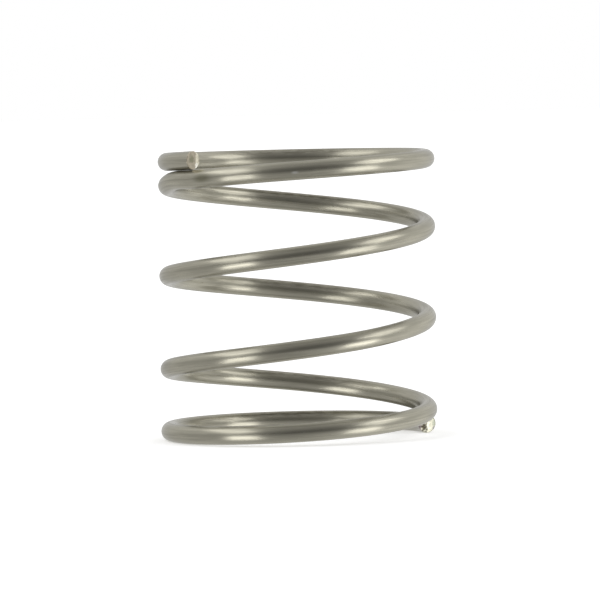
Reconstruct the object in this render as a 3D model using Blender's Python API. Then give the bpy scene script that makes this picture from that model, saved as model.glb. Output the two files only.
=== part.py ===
"""Small helical compression spring of a pipette, wound from one round steel wire.

The coil winds right-handed about +Z and stands on its lower end, with the origin under its middle.
At each end the pitch dies out, so the last half turn lies flat and its tip all but touches
the turn beside it. The wire is sheared at a slant at both tips, and the ends aren't ground.
"""

import math

import bmesh
import bpy
from mathutils import Vector

# Driving dimensions, in metres, turns and degrees
WIRE_DIAMETER = 0.0008
OUTER_DIAMETER = 0.0120
PITCH = 0.0040
TOTAL_TURNS = 4.578
END_FLAT_TURNS = 0.50
TIP_GAP = 0.00003
FIRST_TIP_ANGLE = 10.0
UPPER_TIP_LIFT = 0.00015
UPPER_TIP_LIFT_TURNS = 0.25
LEAN = 0.00011

# The lower tip springs out a little where it was cut off
TIP_FLARE = 0.00006
TIP_FLARE_TURNS = 0.12

# A slight set in the wire, in turns from the lower tip: it jumps up, and settles half a turn on
SET_RISE = 0.00005
SET_STARTS = (1.785, 1.913)
SET_ENDS = (2.431, 2.586)

# The slant of the sheared tips round the coil's axis, and the tilt that turns each face downward
CUT_SLANT = 17.0
UPPER_CUT_TILT = 4.0
LOWER_CUT_TILT = 8.0

# Smoothness of the solid
POINTS_PER_TURN = 64
BEVEL_RESOLUTION = 2
CORNERS = 4 + 2 * BEVEL_RESOLUTION
WELD_DISTANCE = 0.000001
SMOOTH_ANGLE = 60.0

# Satin spring steel
STEEL_COLOUR = (0.56, 0.545, 0.51, 1.0)
STEEL_ROUGHNESS = 0.28

COLLECTION_NAME = "pipette_spring"


def clear_scene():
    """Start from an empty scene."""
    for item in list(bpy.data.objects):
        bpy.data.objects.remove(item, do_unlink=True)


def steel_material():
    """Bright drawn wire, a little warm."""
    material = bpy.data.materials.new("spring_steel")
    material.use_nodes = True
    shader = material.node_tree.nodes["Principled BSDF"]
    shader.inputs["Base Color"].default_value = STEEL_COLOUR
    shader.inputs["Metallic"].default_value = 1.0
    shader.inputs["Roughness"].default_value = STEEL_ROUGHNESS
    material.diffuse_color = STEEL_COLOUR
    return material


def turns_to_full_pitch(lift):
    """Turns over which the pitch opens from nothing to its full value, past the flat stretch.

    The rise over the first turn from the tip has to carry the wire just clear of the tip:
    one wire diameter and the tip gap, less what the tip is lifted away by itself.
    """
    rise = WIRE_DIAMETER + TIP_GAP - lift
    opening_turns = 1.0 - END_FLAT_TURNS
    if rise <= PITCH * opening_turns / 2:
        return PITCH * opening_turns**2 / (2 * rise)
    return 2 * (opening_turns - rise / PITCH)


def rise_from_end(turns, lift):
    """Height of the wire's centre line above its flat end turn, this many turns in from the tip."""
    opening_turns = max(turns - END_FLAT_TURNS, 0.0)
    ramp = turns_to_full_pitch(lift)
    if opening_turns < ramp:
        rise = PITCH * opening_turns**2 / (2 * ramp)
    else:
        rise = PITCH * (opening_turns - ramp / 2)
    tip_share = max(1.0 - turns / UPPER_TIP_LIFT_TURNS, 0.0)
    return rise - lift * tip_share**2


def axis_height():
    """Height between the flat turns of the two ends, from centre line to centre line."""
    half_turns = TOTAL_TURNS / 2
    return rise_from_end(half_turns, 0.0) + rise_from_end(half_turns, UPPER_TIP_LIFT)


def smooth_step(low, high, value):
    """0 below low, 1 above high, and smooth between."""
    share = min(max((value - low) / (high - low), 0.0), 1.0)
    return share * share * (3.0 - 2.0 * share)


def wire_point(turns):
    """Centre of the wire, this many turns up from the lower tip."""
    if turns < TOTAL_TURNS / 2:
        height = rise_from_end(turns, 0.0)
    else:
        height = axis_height() - rise_from_end(TOTAL_TURNS - turns, UPPER_TIP_LIFT)
    lean = LEAN * (height / axis_height() - 0.5)
    height += SET_RISE * smooth_step(*SET_STARTS, turns) * (1.0 - smooth_step(*SET_ENDS, turns))
    angle = math.radians(FIRST_TIP_ANGLE) + math.tau * turns
    flare = TIP_FLARE * max(1.0 - turns / TIP_FLARE_TURNS, 0.0) ** 2
    radius = (OUTER_DIAMETER - WIRE_DIAMETER) / 2 + flare
    x = radius * math.cos(angle) + lean
    y = radius * math.sin(angle)
    return Vector((x, y, height + WIRE_DIAMETER / 2))


def wound_wire(name, material):
    """The whole spring as a curve: one round wire along the coil, with its two tips cut square.

    With Z_UP the section keeps a corner at the top, bottom, inside and outside of each turn,
    so the facets give the true diameters and height.
    """
    curve = bpy.data.curves.new(name, "CURVE")
    curve.dimensions = "3D"
    curve.twist_mode = "Z_UP"
    curve.bevel_depth = WIRE_DIAMETER / 2
    curve.bevel_resolution = BEVEL_RESOLUTION
    curve.use_fill_caps = True
    segments = round(TOTAL_TURNS * POINTS_PER_TURN)
    spline = curve.splines.new("POLY")
    spline.points.add(segments)
    for index, point in enumerate(spline.points):
        point.co = (*wire_point(TOTAL_TURNS * index / segments), 1.0)
    spline.use_smooth = True
    curve.materials.append(material)
    return bpy.data.objects.new(name, curve)


def as_mesh(curve_object, collection):
    """The same shape as a mesh object, with the caps at its tips welded to the tube."""
    evaluated = curve_object.evaluated_get(bpy.context.evaluated_depsgraph_get())
    mesh = bpy.data.meshes.new_from_object(evaluated)
    welded = bmesh.new()
    welded.from_mesh(mesh)
    bmesh.ops.remove_doubles(welded, verts=welded.verts, dist=WELD_DISTANCE)
    welded.to_mesh(mesh)
    welded.free()
    name = curve_object.name
    place = curve_object.matrix_world.copy()
    bpy.data.objects.remove(curve_object, do_unlink=True)
    mesh_object = bpy.data.objects.new(name, mesh)
    mesh_object.matrix_world = place
    collection.objects.link(mesh_object)
    return mesh_object


def shear_tip(mesh, turns, slope, lean):
    """Slant the cut face at this tip, by sliding its corners along the wire.

    slope and lean say how far they slide for each step outward and each step upward.
    """
    step = 0.001
    centre = wire_point(turns)
    forward = (wire_point(turns + step) - wire_point(turns - step)).normalized()
    angle = math.radians(FIRST_TIP_ANGLE) + math.tau * turns
    outward = Vector((math.cos(angle), math.sin(angle), 0.0))
    corners = sorted(mesh.vertices, key=lambda vertex: (vertex.co - centre).length)[:CORNERS]
    for vertex in corners:
        across = (vertex.co - centre).dot(outward)
        up = vertex.co.z - centre.z
        vertex.co += (slope * across + lean * up) * forward


def main():
    clear_scene()
    collection = bpy.data.collections.new(COLLECTION_NAME)
    bpy.context.scene.collection.children.link(collection)
    curve_object = wound_wire("coil_spring", steel_material())
    collection.objects.link(curve_object)
    spring = as_mesh(curve_object, collection)
    slope = math.tan(math.radians(CUT_SLANT))
    shear_tip(spring.data, 0.0, slope, -math.tan(math.radians(LOWER_CUT_TILT)))
    shear_tip(spring.data, TOTAL_TURNS, slope, math.tan(math.radians(UPPER_CUT_TILT)))
    spring.data.shade_smooth()
    spring.data.set_sharp_from_angle(angle=math.radians(SMOOTH_ANGLE))


main()
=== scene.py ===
import math

import bpy
import numpy as np
from mathutils import Matrix, Vector, noise


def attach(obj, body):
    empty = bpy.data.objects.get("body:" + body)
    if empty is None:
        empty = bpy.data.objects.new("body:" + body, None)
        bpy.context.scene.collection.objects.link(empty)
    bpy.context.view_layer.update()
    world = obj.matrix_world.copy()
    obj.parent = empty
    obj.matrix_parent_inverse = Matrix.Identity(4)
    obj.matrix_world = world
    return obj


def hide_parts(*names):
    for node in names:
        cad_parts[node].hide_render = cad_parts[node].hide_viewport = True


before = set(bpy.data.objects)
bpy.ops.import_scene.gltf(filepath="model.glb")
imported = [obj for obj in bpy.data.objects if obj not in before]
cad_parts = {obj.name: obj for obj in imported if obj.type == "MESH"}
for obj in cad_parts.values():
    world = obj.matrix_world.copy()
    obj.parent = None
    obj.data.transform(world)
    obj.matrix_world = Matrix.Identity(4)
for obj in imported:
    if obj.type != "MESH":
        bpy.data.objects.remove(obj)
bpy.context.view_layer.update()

# The coil, with the same values as the solid: metres, turns and degrees
WIRE_DIAMETER = 0.0008
OUTER_DIAMETER = 0.0120
PITCH = 0.0040
TOTAL_TURNS = 4.578
END_FLAT_TURNS = 0.50
TIP_GAP = 0.00003
FIRST_TIP_ANGLE = 10.0
UPPER_TIP_LIFT = 0.00015
UPPER_TIP_LIFT_TURNS = 0.25
LEAN = 0.00011

# A slight set in the wire: the third bend on the right jumps up, and settles half a turn on
SET_RISE = 0.00005
SET_STARTS = (1.785, 1.913)
SET_ENDS = (2.431, 2.586)

# The lower tip springs out a little where it was cut off
TIP_FLARE = 0.00006
TIP_FLARE_TURNS = 0.12

# The turn under the upper tip is pressed up toward it, which the solid leaves out: how far,
# and the middle and reach of the pressed stretch, in turns from that tip
PRESS_RISE = 0.000085
PRESS_PLACE = 1.045
PRESS_REACH = 0.035

# Shearing swells the wire a little sideways: share of its radius, and turns that it reaches
SWELL = {"upper": (0.08, 0.085), "lower": (0.04, 0.018)}

# The upper end faces along the wire, the lower one back along it
FACING = {"upper": 1, "lower": -1}

# Fineness of the surface
RINGS_PER_TURN = 180
SIDES = 72
CUT_RINGS = 26
SMOOTH_ANGLE = 40.0
DIRECTION_STEP = 1e-4

# The sheared ends, in wire radii: slanted, and rounded over at the rim by so much on the inner and
# the outer side of the coil. The span says where the one passes into the other.
CUT_SLANT = math.tan(math.radians(17.0))
CUT_TILT = {"upper": math.tan(math.radians(4.0)), "lower": math.tan(math.radians(8.0))}
ROLLOVER = {"upper": (0.10, 0.07), "lower": (0.08, 0.14)}
ROLLOVER_SPAN = (-0.7, 0.3)
LIP_STARTS = -0.55
LIP_SLOPE = {"upper": 0.18, "lower": 0.0}

# The torn inner part of the sheared ends, in wire radii: where it starts, how far that edge wanders
# and in how many waves, how soft it is, and how deep and how rough the tear is. The fractal is
# given by the fall-off, step and number of its octaves.
TEAR_STARTS = {"upper": -0.55, "lower": 0.00}
TEAR_WANDER = 0.10
TEAR_WAVES = 3.0
TEAR_SEED = 7.0
TEAR_EDGE = 0.12
TEAR_DROP = 0.05
TEAR_GRAIN = {"upper": 0.015, "lower": 0.07}
TEAR_GRAIN_WAVES = 4.0
TEAR_GRAIN_FRACTAL = (1.0, 2.0, 5)

# The wire in millimetres, which its finish is laid out in, and steps to measure its length by
MILLIMETRES = 1000
WIRE_RADIUS = WIRE_DIAMETER / 2 * MILLIMETRES
LENGTH_STEPS = 1000

# A small knock, and painted shade for the dark reflection of the upper tip, on the front of the top
# turn: turns from the lower tip, degrees up from the outermost line, half width and half length in
# millimetres. They fade to nothing over MARK_EDGE, in shares of that half size.
KNOCK = (3.7205, -10.0, (0.07, 0.17))
PAINTED_TIP_SHADE = (3.6045, 1.0, (0.21, 0.56))
MARK_EDGE = (0.2, 1.2)

# A mottled stain high on the inner side of the wire, at the back of each turn, which is also painted
# shade: it darkens the reflection there. It fades outward and grows upward over these millimetres
# from the wire's middle, and grows over these metres behind the coil's axis. It is full in the dark
# mottles, and this share of that in the light ones.
STAIN_AND_SHADE_FADES_OUTWARD = (-0.22, 0.02)
STAIN_AND_SHADE_GROWS_UPWARD = (0.10, 0.28)
STAIN_AND_SHADE_REACH = (0.0040, 0.0055)
STAIN_AND_SHADE_MOTTLES = (0.42, 0.58)
STAIN_AND_SHADE_LEAST = 0.25

# Grain of the wire: width and length in millimetres, detail, and a shift that sets each one apart
WIRE_GRAIN = {
    "streaks": (0.12, 3.0, 3.0, 0.0),
    "lines": (0.045, 3.2, 2.0, 20.0),
    "patches": (0.18, 1.0, 4.0, 40.0),
    "specks": (0.045, 0.10, 2.0, 60.0),
    "scores": (0.030, 6.0, 1.0, 80.0),
    "mottles": (0.090, 0.45, 3.0, 100.0),
}

# The wire's tone is a mix of three grains, from dark to light over this span of the mix
TONE_SHARES = {"streaks": 0.40, "lines": 0.33, "patches": 0.27}
TONE_SPAN = (0.38, 0.62)

# Pits and scores lie where their grain is low: from full strength to nothing over each span
PIT_SPAN = (0.20, 0.27)
PIT_STRENGTH = 0.25
SCORE_SPAN = (0.30, 0.42)
SCORE_STRENGTH = 0.55

# Colours of the wire, and the tint that is left at its edge
WIRE_LIGHT = (0.440, 0.422, 0.346)
WIRE_DARK = (0.340, 0.326, 0.267)
WIRE_EDGE = 0.7
WIRE_SCORED = (0.240, 0.226, 0.182)
PIT_SHADE = 0.45
WIRE_PITTED = tuple(PIT_SHADE * level for level in WIRE_DARK)
KNOCK_COLOUR = (0.62, 0.61, 0.57)
# Painted shade: colour of the upper tip's dark reflection, and how fully it is laid on
PAINTED_TIP_SHADE_COLOUR = (0.185, 0.176, 0.122)
PAINTED_TIP_SHADE_STRENGTH = 0.8

# Gloss and relief of the wire: the height in metres, and what each grain counts in it
DARK_ROUGHNESS = 0.35
LIGHT_ROUGHNESS = 0.26
KNOCK_ROUGHNESS = 0.55
ANISOTROPY = 0.7
WIRE_RELIEF = 0.000001
LINE_RELIEF = 0.6
STREAK_RELIEF = 1.2
PIT_RELIEF = -0.8

# Colours, grain and relief of the sheared ends. The grain is in widths of the face.
CUT_BRIGHT = {"upper": (0.52, 0.47, 0.37), "lower": (0.51, 0.50, 0.40)}
CUT_DULL = {"upper": (0.42, 0.38, 0.30), "lower": (0.41, 0.40, 0.32)}
CUT_FINE_GRAIN = (0.10, 0.10, 4.0, 5.0)
CUT_BROAD_GRAIN = (0.20, 0.20, 3.0, 9.0)
CUT_FINE_SPAN = (0.3, 0.7)
CUT_BROAD_SPAN = (0.35, 0.65)
CUT_ROUGHNESS = (0.28, 0.42)
CUT_RELIEF = 0.000003

# Patches on the sheared ends: across and up, half width and half height, in wire radii, colour. The
# two light ones on the upper end are painted highlights on its rounded inner rim.
# They fade to nothing over PATCH_EDGE, in shares of that half size, and the fine grain makes
# their edge ragged.
CUT_PATCHES = {
    "upper": [
        ((0.20, 0.10), (0.44, 0.46), (0.30, 0.29, 0.205)),
        # Painted highlights: a light strip along the rounded inner rim, and a bright spot at its foot
        ((-0.64, 0.00), (0.26, 1.80), (0.86, 0.82, 0.67)),
        ((-0.58, -0.62), (0.30, 0.36), (1.00, 0.98, 0.88)),
    ],
    "lower": [
        ((0.08, -0.10), (0.28, 1.00), (0.60, 0.58, 0.48)),
        ((-0.90, -0.25), (0.38, 0.70), (0.29, 0.25, 0.24)),
        ((-0.38, -0.32), (0.30, 0.46), (0.09, 0.078, 0.055)),
        ((0.78, 0.02), (0.22, 0.46), (0.33, 0.34, 0.27)),
        ((0.76, -0.48), (0.17, 0.20), (0.25, 0.24, 0.23)),
    ],
}
PATCH_EDGE = (0.5, 1.1)
PATCH_RAGGEDNESS = 0.35

# Camera
TARGET = Vector((0.000091, 0.0, 0.005967))
CAMERA_DISTANCE = 0.2407
CAMERA_ELEVATION = 2.435
CAMERA_ROLL = 1.255
PIXELS_PER_METRE = 23035.0
FRAME_PIXELS = 600
SENSOR_WIDTH = 36.0

# Soft lamps: azimuth and elevation from the front, half width and half height, roll, radiance
LAMP_DISTANCE = 0.6
LAMPS = {
    "upper_left": (-74.0, 44.0, 28.0, 13.5, -36.0, 1.38),
    "upper_right": (77.0, 34.0, 21.0, 14.5, 33.0, 1.70),
    "lower_left": (-51.0, -28.0, 13.5, 20.5, -9.0, 2.28),
    "lower_right": (61.0, -26.5, 14.0, 20.5, 19.0, 2.03),
}

# The room around the lamps: white at the back, and darkest in front, toward this azimuth and
# elevation. The dark sets in over this span of the cosine of the angle from there.
ROOM_RADIUS = 0.95
ROOM_SEGMENTS = 64
ROOM_RINGS = 32
DARK_DIRECTION = (11.0, -3.0)
DARK_SPAN = (-0.77, 1.30)

# Level of the dark, and the levels that it rises to below and above. Heights and sides in the room
# are in its radii.
DARK_LEVEL = 0.04
DARK_BELOW = 0.46
DARK_ABOVE = 0.18
BELOW_SPAN = (-0.35, 0.05)
ABOVE_SPAN = (0.25, 0.90)

# Shade at the very top and bottom, more light on the right, and a dim band on the far left
TOP_SHADE = 0.30
TOP_SHADE_POWER = 8.0
SIDE_SHADE = 0.24
BAND_HEIGHT = 0.10
BAND_SHADE = 0.35
BAND_EDGE = (0.05, 0.17)
BAND_SIDE = (-0.70, -0.92)

# The floor, and the glow that lifts it to white where it is looked at
FLOOR_RADIUS = 1.5
FLOOR_CORNERS = 96
FLOOR_GREY = 0.85
FLOOR_GLOW = 0.42


def turns_to_full_pitch(lift):
    """Turns over which the pitch opens from nothing to its full value, past the flat stretch."""
    rise = WIRE_DIAMETER + TIP_GAP - lift
    opening_turns = 1.0 - END_FLAT_TURNS
    if rise <= PITCH * opening_turns / 2:
        return PITCH * opening_turns**2 / (2 * rise)
    return 2 * (opening_turns - rise / PITCH)


def rise_from_end(turns, lift):
    """Height of the centre line above its flat end turn, for an array of turns in from the tip."""
    opening_turns = np.maximum(turns - END_FLAT_TURNS, 0.0)
    ramp = turns_to_full_pitch(lift)
    opening = PITCH * opening_turns**2 / (2 * ramp)
    steady = PITCH * (opening_turns - ramp / 2)
    tip_share = np.maximum(1.0 - turns / UPPER_TIP_LIFT_TURNS, 0.0)
    return np.where(opening_turns < ramp, opening, steady) - lift * tip_share**2


def smooth_step(low, high, values):
    """0 below low, 1 above high, and smooth between."""
    share = np.clip((values - low) / (high - low), 0.0, 1.0)
    return share * share * (3.0 - 2.0 * share)


def centre_line(turns):
    """Points of the wire's centre line, for an array of turns up from the lower tip."""
    half = np.array([TOTAL_TURNS / 2])
    axis_height = rise_from_end(half, 0.0)[0] + rise_from_end(half, UPPER_TIP_LIFT)[0]
    lower = rise_from_end(turns, 0.0)
    upper = axis_height - rise_from_end(TOTAL_TURNS - turns, UPPER_TIP_LIFT)
    height = np.where(turns < TOTAL_TURNS / 2, lower, upper)
    lean = LEAN * (height / axis_height - 0.5)
    height = height + SET_RISE * smooth_step(*SET_STARTS, turns) * (1 - smooth_step(*SET_ENDS, turns))
    from_press = (TOTAL_TURNS - turns - PRESS_PLACE) / PRESS_REACH
    height = height + PRESS_RISE * np.exp(-(from_press**2))
    angle = math.radians(FIRST_TIP_ANGLE) + math.tau * turns
    flare = TIP_FLARE * np.maximum(1.0 - turns / TIP_FLARE_TURNS, 0.0) ** 2
    radius = (OUTER_DIAMETER - WIRE_DIAMETER) / 2 + flare
    x = radius * np.cos(angle) + lean
    y = radius * np.sin(angle)
    return np.stack([x, y, height + WIRE_DIAMETER / 2], axis=1)


def unit(vectors):
    """Each row scaled to length 1."""
    return vectors / np.linalg.norm(vectors, axis=1, keepdims=True)


def wire_frame(turns):
    """Centre line, forward, outward and upward directions along the wire."""
    points = centre_line(turns)
    forward = unit(centre_line(turns + DIRECTION_STEP) - centre_line(turns - DIRECTION_STEP))
    angle = math.radians(FIRST_TIP_ANGLE) + math.tau * turns
    radial = np.stack([np.cos(angle), np.sin(angle), np.zeros_like(angle)], axis=1)
    outward = unit(radial - (radial * forward).sum(axis=1, keepdims=True) * forward)
    upward = np.cross(outward, forward)
    upward *= np.sign(upward[:, 2:3])
    return points, forward, outward, upward


def length_along(turns):
    """Millimetres of wire from the first of these turns to each of them."""
    points = centre_line(turns)
    steps = np.linalg.norm(np.diff(points, axis=0), axis=1)
    return np.concatenate([[0.0], np.cumsum(steps)]) * MILLIMETRES


def tear_grain(across, up, seed):
    """Rough grain of the torn part of a cut, about -1 to 1."""
    place = Vector((across * TEAR_GRAIN_WAVES, up * TEAR_GRAIN_WAVES, seed))
    return np.clip(noise.fractal(place, *TEAR_GRAIN_FRACTAL), -1.0, 1.0)


def cut_height(across, up, end):
    """How far a sheared end stands out at a point of its face, in wire radii.

    across runs from -1 inside the coil to 1 outside it.
    """
    side = FACING[end]
    height = side * CUT_SLANT * across + CUT_TILT[end] * up
    height += LIP_SLOPE[end] * max(LIP_STARTS - across, 0.0)
    rim = 1.0 - math.hypot(across, up)
    inner, outer = ROLLOVER[end]
    rollover = inner + (outer - inner) * float(smooth_step(*ROLLOVER_SPAN, across))
    if rim < rollover:
        height -= rollover - math.sqrt(rollover**2 - (rollover - rim) ** 2)
    wander = noise.noise(Vector((up * TEAR_WAVES, TEAR_SEED * side, 0.0)))
    starts = TEAR_STARTS[end] + TEAR_WANDER * wander
    torn = float(smooth_step(starts, starts - TEAR_EDGE, across))
    roughness = TEAR_GRAIN[end] * tear_grain(across, up, side)
    return height + torn * (roughness - TEAR_DROP * (1.0 + across))


def wire_half_width(turns):
    """Half the width of the wire across the coil, which swells toward each sheared end."""
    swelling = np.ones_like(turns)
    for end, from_end in (("lower", turns), ("upper", TOTAL_TURNS - turns)):
        share, reach = SWELL[end]
        swelling += share * np.exp(-((from_end / reach) ** 2))
    return WIRE_DIAMETER / 2 * swelling


def cut_face(point, outward, upward, facing, end):
    """Rings of points over one sheared end, from its rim to its centre, and their face coordinates."""
    radius = WIRE_DIAMETER / 2
    swollen = 1.0 + SWELL[end][0]
    rows = []
    for ring in range(CUT_RINGS):
        share = math.cos(math.pi / 2 * ring / CUT_RINGS)
        for corner in range(SIDES):
            angle = math.tau * corner / SIDES
            rows.append((share * math.cos(angle), share * math.sin(angle)))
    rows.append((0.0, 0.0))
    places = []
    for across, up in rows:
        height = cut_height(across, up, end)
        places.append(point + radius * (swollen * across * outward + up * upward + height * facing))
    return np.array(places), np.array(rows) / 2 + 0.5


def tube_points(turns, points, outward, upward):
    """Rings of points around the wire, each starting at its outermost point."""
    around = np.linspace(0.0, math.tau, SIDES, endpoint=False)
    sideways = outward[:, None] * np.cos(around)[:, None] * wire_half_width(turns)[:, None, None]
    upright = upward[:, None] * np.sin(around)[:, None] * WIRE_DIAMETER / 2
    return (points[:, None] + sideways + upright).reshape(-1, 3)


def tube_faces(distance):
    """Faces between the rings, and the share around and distance along the wire at their corners."""
    faces = []
    marks = []
    for ring in range(len(distance) - 1):
        low, high = ring * SIDES, (ring + 1) * SIDES
        start, end = distance[ring], distance[ring + 1]
        for side in range(SIDES):
            after = (side + 1) % SIDES
            faces.append((low + side, low + after, high + after, high + side))
            left, right = side / SIDES, (side + 1) / SIDES
            marks += [(left, start), (right, start), (right, end), (left, end)]
    return faces, marks


def end_faces(rim, first, face_marks, turned):
    """Faces over one sheared end, and the face coordinates at their corners.

    rim holds the tube's own points there, and first is the first point of the next ring.
    """
    faces = []
    outer = list(rim)
    for ring in range(1, CUT_RINGS):
        inner = [first + (ring - 1) * SIDES + corner for corner in range(SIDES)]
        for corner in range(SIDES):
            after = (corner + 1) % SIDES
            faces.append((outer[corner], outer[after], inner[after], inner[corner]))
        outer = inner
    centre = first + (CUT_RINGS - 1) * SIDES
    for corner in range(SIDES):
        faces.append((outer[corner], outer[(corner + 1) % SIDES], centre))
    if turned:
        faces = [tuple(reversed(face)) for face in faces]
    mark_of = dict(zip(rim, face_marks[:SIDES]))
    mark_of.update(enumerate(face_marks[SIDES:], start=first))
    return faces, [tuple(mark_of[point]) for face in faces for point in face]


def spring_mesh():
    """The wound wire as one closed mesh, with its round surface marked along and around the wire."""
    turns = np.linspace(0.0, TOTAL_TURNS, round(TOTAL_TURNS * RINGS_PER_TURN) + 1)
    points, forward, outward, upward = wire_frame(turns)
    tube = tube_points(turns, points, outward, upward)
    low_places, low_marks = cut_face(points[0], outward[0], upward[0], -forward[0], "lower")
    high_places, high_marks = cut_face(points[-1], outward[-1], upward[-1], forward[-1], "upper")
    tube[:SIDES] = low_places[:SIDES]
    tube[-SIDES:] = high_places[:SIDES]
    vertices = np.vstack([tube, low_places[SIDES:], high_places[SIDES:]])

    first_low = len(tube)
    first_high = first_low + len(low_places) - SIDES
    last_ring = len(tube) - SIDES
    parts = (
        tube_faces(length_along(turns)),
        end_faces(range(SIDES), first_low, low_marks, True),
        end_faces(range(last_ring, len(tube)), first_high, high_marks, False),
    )
    faces = [face for part_faces, _ in parts for face in part_faces]
    marks = [mark for _, part_marks in parts for mark in part_marks]
    materials = [material for material, (part_faces, _) in enumerate(parts) for _ in part_faces]

    mesh = bpy.data.meshes.new("spring_wire")
    mesh.from_pydata(vertices.tolist(), [], faces)
    uv = mesh.uv_layers.new(name="wire")
    uv.data.foreach_set("uv", np.array(marks, dtype=np.float32).ravel())
    mesh.shade_smooth()
    mesh.set_sharp_from_angle(angle=math.radians(SMOOTH_ANGLE))
    mesh.polygons.foreach_set("material_index", materials)
    return mesh


class Nodes:
    """Short forms for the nodes of one material."""

    def __init__(self, name):
        self.material = bpy.data.materials.new(name)
        self.material.use_nodes = True
        self.tree = self.material.node_tree

    def add(self, kind, **settings):
        """A new node with these settings."""
        node = self.tree.nodes.new(kind)
        for name, value in settings.items():
            setattr(node, name, value)
        return node

    def feed(self, socket, value):
        """Link another node's output to the socket, or set a plain value on it."""
        if isinstance(value, bpy.types.NodeSocket):
            self.tree.links.new(value, socket)
        else:
            socket.default_value = value

    def math(self, operation, first, second=0.0):
        """Arithmetic on numbers."""
        node = self.add("ShaderNodeMath", operation=operation)
        self.feed(node.inputs[0], first)
        self.feed(node.inputs[1], second)
        return node.outputs[0]

    def vector_math(self, operation, first, second=(0.0, 0.0, 0.0)):
        """Arithmetic on vectors, which gives a number for LENGTH and DOT_PRODUCT."""
        node = self.add("ShaderNodeVectorMath", operation=operation)
        self.feed(node.inputs[0], first)
        self.feed(node.inputs[1], second)
        gives_number = operation in ("LENGTH", "DOT_PRODUCT")
        return node.outputs["Value" if gives_number else "Vector"]

    def parts(self, vector):
        """The three parts of a vector."""
        node = self.add("ShaderNodeSeparateXYZ")
        self.feed(node.inputs[0], vector)
        return node.outputs

    def span(self, value, low, high, new_low, new_high, smooth=False):
        """The value, carried over from one span to another and held at its ends."""
        node = self.add("ShaderNodeMapRange", interpolation_type="SMOOTHSTEP" if smooth else "LINEAR")
        for place, amount in enumerate((value, low, high, new_low, new_high)):
            self.feed(node.inputs[place], amount)
        return node.outputs["Result"]

    def dimmed(self, level, share):
        """The level, less this share of it."""
        return self.math("MULTIPLY", level, self.math("SUBTRACT", 1.0, share))

    def blend_colours(self, share, first, second):
        """From the first colour to the second one, as the share goes from 0 to 1."""
        node = self.add("ShaderNodeMix", data_type="RGBA")
        self.feed(node.inputs["Factor"], share)
        for name, colour in (("A", first), ("B", second)):
            socket = next(s for s in node.inputs if s.name == name and s.type == "RGBA")
            self.feed(socket, (*colour, 1.0) if isinstance(colour, tuple) else colour)
        return next(s for s in node.outputs if s.type == "RGBA")

    def distance(self, place, centre, scale):
        """Distance of a place from a centre, once each part is multiplied by its scale."""
        apart = self.vector_math("SUBTRACT", place, centre)
        return self.vector_math("LENGTH", self.vector_math("MULTIPLY", apart, scale))

    def grain(self, vector, width, length, detail, offset):
        """Noise whose features are this wide, and this long along the third axis."""
        stretch = self.add("ShaderNodeMapping")
        self.feed(stretch.inputs["Vector"], vector)
        self.feed(stretch.inputs["Location"], (offset, 0.0, 0.0))
        self.feed(stretch.inputs["Scale"], (1 / width, 1 / width, 1 / length))
        grain = self.add("ShaderNodeTexNoise")
        self.feed(grain.inputs["Vector"], stretch.outputs[0])
        self.feed(grain.inputs["Scale"], 1.0)
        self.feed(grain.inputs["Detail"], detail)
        return grain.outputs["Fac"]

    def relief(self, height, metres):
        """Directions of a surface that is raised by this height, where 1 is so many metres."""
        bump = self.add("ShaderNodeBump")
        self.feed(bump.inputs["Distance"], metres)
        self.feed(bump.inputs["Height"], height)
        return bump.outputs[0]

    def glow(self, strength):
        """A surface that gives off white light."""
        emission = self.add("ShaderNodeEmission")
        self.feed(emission.inputs["Strength"], strength)
        return emission.outputs[0]

    def cover_with(self, surface):
        """Make this the surface of the material."""
        output = self.add("ShaderNodeOutputMaterial")
        self.feed(output.inputs["Surface"], surface)


def straight_wire(nodes):
    """Millimetres on the wire as if it were pulled straight, with its length along the third axis."""
    uv = nodes.add("ShaderNodeUVMap", uv_map="wire").outputs[0]
    around, along, _ = nodes.parts(uv)
    angle = nodes.math("MULTIPLY", around, math.tau)
    place = nodes.add("ShaderNodeCombineXYZ")
    nodes.feed(place.inputs[0], nodes.math("MULTIPLY", nodes.math("COSINE", angle), WIRE_RADIUS))
    nodes.feed(place.inputs[1], nodes.math("MULTIPLY", nodes.math("SINE", angle), WIRE_RADIUS))
    nodes.feed(place.inputs[2], along)
    return place.outputs[0]


def mark_share(nodes, place, mark):
    """1 inside a mark on the wire, and 0 outside it."""
    turns, angle_up, (width, length) = mark
    angle = math.radians(angle_up)
    along = length_along(np.linspace(0.0, turns, LENGTH_STEPS))[-1]
    centre = (WIRE_RADIUS * math.cos(angle), WIRE_RADIUS * math.sin(angle), along)
    away = nodes.distance(place, centre, (1 / width, 1 / width, 1 / length))
    return nodes.span(away, *MARK_EDGE, 1.0, 0.0, smooth=True)


def stain_and_shade_share(nodes, place):
    """Mottled stain and painted shade at the back of each turn, high on its inner side: 0 where there
    is none.
    """
    outward, upward, _ = nodes.parts(place)
    inner = nodes.span(outward, *STAIN_AND_SHADE_FADES_OUTWARD, 1.0, 0.0, smooth=True)
    upper = nodes.span(upward, *STAIN_AND_SHADE_GROWS_UPWARD, 0.0, 1.0, smooth=True)
    _, behind, _ = nodes.parts(nodes.add("ShaderNodeTexCoord").outputs["Object"])
    back = nodes.span(behind, *STAIN_AND_SHADE_REACH, 0.0, 1.0, smooth=True)
    mottles = nodes.grain(place, *WIRE_GRAIN["mottles"])
    mottles = nodes.span(mottles, *STAIN_AND_SHADE_MOTTLES, 1.0, STAIN_AND_SHADE_LEAST, smooth=True)
    where = nodes.math("MULTIPLY", nodes.math("MULTIPLY", inner, upper), back)
    return nodes.math("MULTIPLY", where, mottles)


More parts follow.
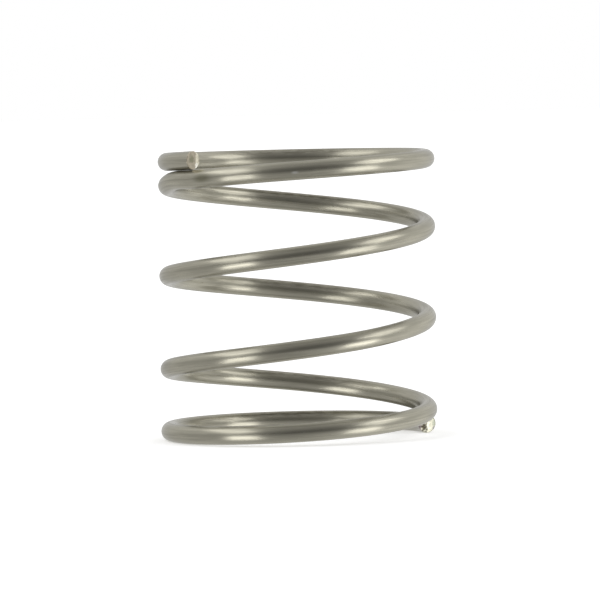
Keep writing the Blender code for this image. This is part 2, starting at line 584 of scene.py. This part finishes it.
def wire_colour(nodes, tone, pits, place, knock):
    """Light and dark steel, then pits, scores, the stain with its painted shade, the painted shade of
    the tip and the knock on it.
    """
    scores = nodes.grain(place, *WIRE_GRAIN["scores"])
    scores = nodes.span(scores, *SCORE_SPAN, SCORE_STRENGTH, 0.0, smooth=True)
    tip_shade = nodes.math("MULTIPLY", mark_share(nodes, place, PAINTED_TIP_SHADE), PAINTED_TIP_SHADE_STRENGTH)
    light = nodes.span(tone, *TONE_SPAN, 0.0, 1.0)
    colour = nodes.blend_colours(light, WIRE_DARK, WIRE_LIGHT)
    colour = nodes.blend_colours(pits, colour, WIRE_PITTED)
    colour = nodes.blend_colours(scores, colour, WIRE_SCORED)
    # Mottled stain with painted shade: darkens the reflection high on the inner side of the back turns
    colour = nodes.blend_colours(stain_and_shade_share(nodes, place), colour, WIRE_SCORED)
    # Painted shade: the dark reflection of the upper tip, laid on the turn under it
    colour = nodes.blend_colours(tip_shade, colour, PAINTED_TIP_SHADE_COLOUR)
    return nodes.blend_colours(knock, colour, KNOCK_COLOUR)


def drawn_steel():
    """Drawn wire: fine lines and dull streaks along it, with a soft sheen stretched around it."""
    nodes = Nodes("drawn_steel")
    shader = nodes.tree.nodes["Principled BSDF"]
    place = straight_wire(nodes)
    grain = {name: nodes.grain(place, *WIRE_GRAIN[name]) for name in TONE_SHARES}
    tone = 0.0
    for name, share in TONE_SHARES.items():
        tone = nodes.math("ADD", nodes.math("MULTIPLY", grain[name], share), tone)
    specks = nodes.grain(place, *WIRE_GRAIN["specks"])
    pits = nodes.span(specks, *PIT_SPAN, PIT_STRENGTH, 0.0, smooth=True)
    knock = mark_share(nodes, place, KNOCK)
    nodes.feed(shader.inputs["Base Color"], wire_colour(nodes, tone, pits, place, knock))

    roughness = nodes.span(tone, *TONE_SPAN, DARK_ROUGHNESS, LIGHT_ROUGHNESS)
    roughness = nodes.span(knock, 0.0, 1.0, roughness, KNOCK_ROUGHNESS)
    nodes.feed(shader.inputs["Roughness"], roughness)

    height = 0.0
    raised = ((grain["lines"], LINE_RELIEF), (grain["streaks"], STREAK_RELIEF), (pits, PIT_RELIEF))
    for value, share in raised:
        height = nodes.math("ADD", nodes.math("MULTIPLY", value, share), height)
    nodes.feed(shader.inputs["Normal"], nodes.relief(height, WIRE_RELIEF))

    around = nodes.add("ShaderNodeTangent", direction_type="UV_MAP", uv_map="wire")
    nodes.feed(shader.inputs["Tangent"], around.outputs[0])
    shader.inputs["Anisotropic"].default_value = ANISOTROPY
    shader.inputs["Specular Tint"].default_value = (WIRE_EDGE, WIRE_EDGE, WIRE_EDGE, 1.0)
    shader.inputs["Metallic"].default_value = 1.0
    return nodes.material


def patch_share(nodes, face, fine, centre, size):
    """1 inside a patch of a sheared end, and 0 outside its ragged edge."""
    middle = (centre[0] / 2 + 0.5, centre[1] / 2 + 0.5, 0.0)
    away = nodes.distance(face, middle, (2 / size[0], 2 / size[1], 0.0))
    ragged = nodes.span(fine, *CUT_FINE_SPAN, -PATCH_RAGGEDNESS, PATCH_RAGGEDNESS)
    return nodes.span(nodes.math("ADD", away, ragged), *PATCH_EDGE, 1.0, 0.0, smooth=True)


def cut_steel(end):
    """A sheared end: brighter steel, with patches that are dull or stained, and painted highlights on
    the inner rim of the upper end.
    """
    nodes = Nodes("cut_steel_" + end)
    shader = nodes.tree.nodes["Principled BSDF"]
    face = nodes.add("ShaderNodeUVMap", uv_map="wire").outputs[0]
    fine = nodes.grain(face, *CUT_FINE_GRAIN)
    bright = nodes.span(nodes.grain(face, *CUT_BROAD_GRAIN), *CUT_BROAD_SPAN, 0.0, 1.0)
    colour = nodes.blend_colours(bright, CUT_DULL[end], CUT_BRIGHT[end])
    for centre, size, patch_colour in CUT_PATCHES[end]:
        share = patch_share(nodes, face, fine, centre, size)
        colour = nodes.blend_colours(share, colour, patch_colour)
    nodes.feed(shader.inputs["Base Color"], colour)
    nodes.feed(shader.inputs["Roughness"], nodes.span(fine, *CUT_FINE_SPAN, *CUT_ROUGHNESS))
    nodes.feed(shader.inputs["Normal"], nodes.relief(fine, CUT_RELIEF))
    shader.inputs["Metallic"].default_value = 1.0
    return nodes.material


def make_spring():
    """The wire with its finish, in place of the solid."""
    spring = bpy.data.objects.new("spring_wire", spring_mesh())
    bpy.context.scene.collection.objects.link(spring)
    spring.data.materials.append(drawn_steel())
    spring.data.materials.append(cut_steel("lower"))
    spring.data.materials.append(cut_steel("upper"))
    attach(spring, "root")
    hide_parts("coil_spring")


def white_floor():
    """Pale and matt, so that it takes the shadow, and lifted to white where it is looked at."""
    nodes = Nodes("floor")
    nodes.tree.nodes.clear()
    matt = nodes.add("ShaderNodeBsdfDiffuse")
    matt.inputs["Color"].default_value = (FLOOR_GREY, FLOOR_GREY, FLOOR_GREY, 1.0)
    rays = nodes.add("ShaderNodeLightPath").outputs
    seen = nodes.math("ADD", rays["Is Camera Ray"], rays["Is Glossy Ray"])
    seen = nodes.math("ADD", seen, rays["Is Transmission Ray"])
    both = nodes.add("ShaderNodeAddShader")
    nodes.feed(both.inputs[0], matt.outputs[0])
    nodes.feed(both.inputs[1], nodes.glow(nodes.math("MULTIPLY", seen, FLOOR_GLOW)))
    nodes.cover_with(both.outputs[0])
    return nodes.material


def make_floor():
    """A pale table top. The lower lamps shine up through it, so it hides nothing from the steel."""
    bpy.ops.mesh.primitive_circle_add(vertices=FLOOR_CORNERS, radius=FLOOR_RADIUS, fill_type="NGON")
    floor = bpy.context.object
    floor.name = "floor"
    floor.data.materials.append(white_floor())
    floor.visible_glossy = False
    floor.visible_shadow = False


def toward(azimuth, elevation):
    """Unit direction, with azimuth 0 at the camera and 90 to its right."""
    turn, rise = math.radians(azimuth), math.radians(elevation)
    level = math.cos(rise)
    return Vector((math.sin(turn) * level, -math.cos(turn) * level, math.sin(rise)))


def room_light():
    """Plain grey light that falls off toward the front, the top and the bottom of the room."""
    nodes = Nodes("room")
    nodes.tree.nodes.clear()
    position = nodes.add("ShaderNodeNewGeometry").outputs["Position"]
    direction = nodes.vector_math("NORMALIZE", position)
    right, _, height = nodes.parts(direction)

    ahead = nodes.vector_math("DOT_PRODUCT", direction, toward(*DARK_DIRECTION))
    in_front = nodes.span(ahead, *DARK_SPAN, 0.0, 1.0, smooth=True)
    below = nodes.span(height, *BELOW_SPAN, DARK_BELOW - DARK_LEVEL, 0.0, smooth=True)
    above = nodes.span(height, *ABOVE_SPAN, 0.0, DARK_ABOVE - DARK_LEVEL, smooth=True)
    dark = nodes.math("ADD", nodes.math("ADD", below, above), DARK_LEVEL)
    level = nodes.span(in_front, 0.0, 1.0, 1.0, dark)

    steepness = nodes.math("POWER", nodes.math("ABSOLUTE", height), TOP_SHADE_POWER)
    level = nodes.dimmed(level, nodes.math("MULTIPLY", steepness, TOP_SHADE))

    sideways = nodes.math("MULTIPLY", right, nodes.math("SUBTRACT", 1.0, height))
    side_light = nodes.math("ADD", nodes.math("MULTIPLY", sideways, SIDE_SHADE), 1.0)
    level = nodes.math("MULTIPLY", level, side_light)

    off_band = nodes.math("ABSOLUTE", nodes.math("SUBTRACT", height, BAND_HEIGHT))
    band = nodes.span(off_band, *BAND_EDGE, BAND_SHADE, 0.0, smooth=True)
    far_left = nodes.span(right, *BAND_SIDE, 0.0, 1.0, smooth=True)
    level = nodes.dimmed(level, nodes.math("MULTIPLY", band, far_left))
    nodes.cover_with(nodes.glow(level))
    return nodes.material


def make_room():
    """The room that the steel mirrors. The camera looks through it at the white world."""
    bpy.ops.mesh.primitive_uv_sphere_add(
        segments=ROOM_SEGMENTS, ring_count=ROOM_RINGS, radius=ROOM_RADIUS
    )
    room = bpy.context.object
    room.name = "room"
    room.data.materials.append(room_light())
    room.visible_camera = False


def make_world():
    """A plain white world behind everything."""
    world = bpy.data.worlds.new("studio")
    bpy.context.scene.world = world
    world.use_nodes = True
    world.node_tree.nodes["Background"].inputs["Color"].default_value = (1.0, 1.0, 1.0, 1.0)


def make_lamps():
    """Soft lamps around the spring, all at one distance and facing it."""
    for name, (azimuth, elevation, half_width, half_height, roll, radiance) in LAMPS.items():
        lamp = bpy.data.lights.new(name, "AREA")
        lamp.shape = "RECTANGLE"
        lamp.size = 2 * LAMP_DISTANCE * math.tan(math.radians(half_width))
        lamp.size_y = 2 * LAMP_DISTANCE * math.tan(math.radians(half_height))
        lamp.energy = radiance * math.pi * lamp.size * lamp.size_y
        panel = bpy.data.objects.new(name, lamp)
        direction = toward(azimuth, elevation)
        level = toward(azimuth + 90.0, 0.0)
        turn = math.radians(roll)
        right = level * math.cos(turn) + direction.cross(level) * math.sin(turn)
        place = Matrix((right, direction.cross(right), direction)).transposed().to_4x4()
        place.translation = TARGET + direction * LAMP_DISTANCE
        panel.matrix_world = place
        panel.visible_camera = False
        bpy.context.scene.collection.objects.link(panel)


def make_camera():
    """A view from the front, from slightly above and slightly rolled, aimed at the target."""
    camera = bpy.data.objects.new("camera", bpy.data.cameras.new("camera"))
    bpy.context.scene.collection.objects.link(camera)
    camera.data.sensor_width = SENSOR_WIDTH
    camera.data.lens = SENSOR_WIDTH * PIXELS_PER_METRE * CAMERA_DISTANCE / FRAME_PIXELS
    elevation, roll = math.radians(CAMERA_ELEVATION), math.radians(CAMERA_ROLL)
    back = Vector((0.0, -math.cos(elevation), math.sin(elevation)))
    level = Vector((1.0, 0.0, 0.0))
    rise = back.cross(level)
    right = level * math.cos(roll) - rise * math.sin(roll)
    up = level * math.sin(roll) + rise * math.cos(roll)
    place = Matrix((right, up, back)).transposed().to_4x4()
    place.translation = TARGET + back * CAMERA_DISTANCE
    camera.matrix_world = place
    bpy.context.scene.camera = camera


bpy.context.scene.view_settings.view_transform = "Standard"
make_camera()
make_world()
make_room()
make_lamps()
make_floor()
make_spring()
